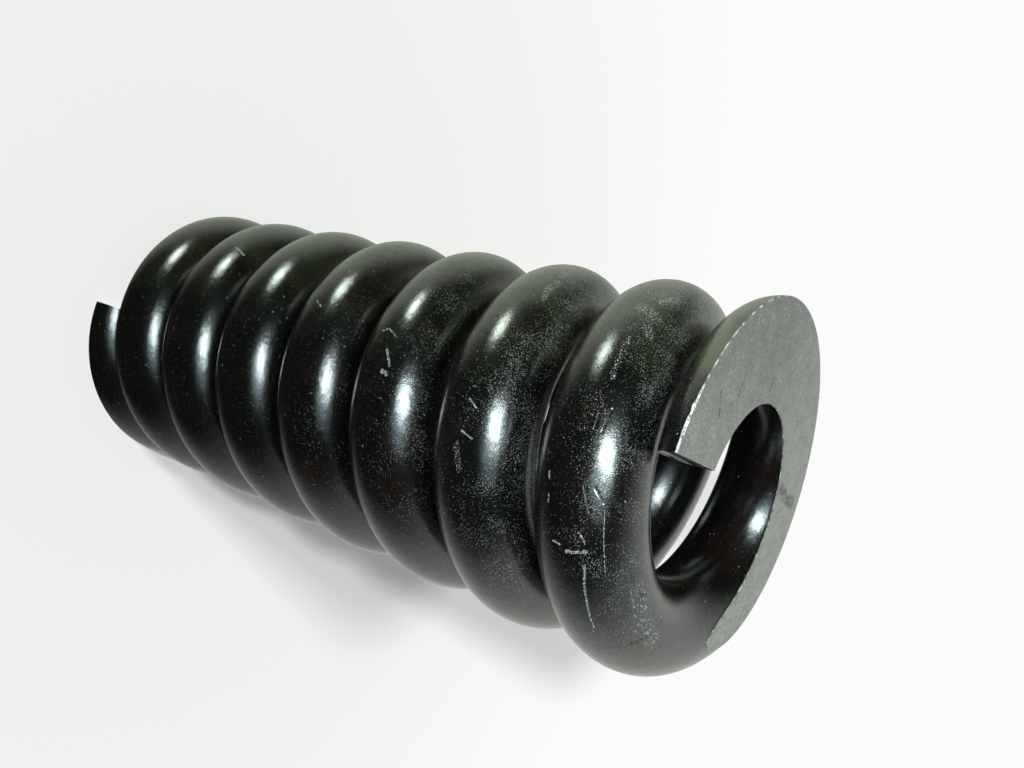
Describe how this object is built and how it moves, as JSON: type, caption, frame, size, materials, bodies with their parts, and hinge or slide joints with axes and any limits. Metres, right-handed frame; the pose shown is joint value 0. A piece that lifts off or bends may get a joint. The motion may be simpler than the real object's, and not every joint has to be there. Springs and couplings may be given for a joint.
{
  "type": "draft control spring",
  "caption": "Heavy round-wire compression spring with closed, ground ends, painted black, that senses implement draft by squeezing between two seats on a guide rod.",
  "frame": {"origin": "on the coil's axis in the plane of the lower ground end", "axes": "+Z along the coil's axis, from the lower ground end to the upper one; the upper wire tip ends 10 degrees from +X towards -Y"},
  "size_m": [0.07, 0.07, 0.1588],
  "materials": {
    "black_paint": "gloss black over spring steel, with bare ground ends"
  },
  "bodies": {
    "root": {"coil_spring": "black_paint"}
  },
  "joints": []
}
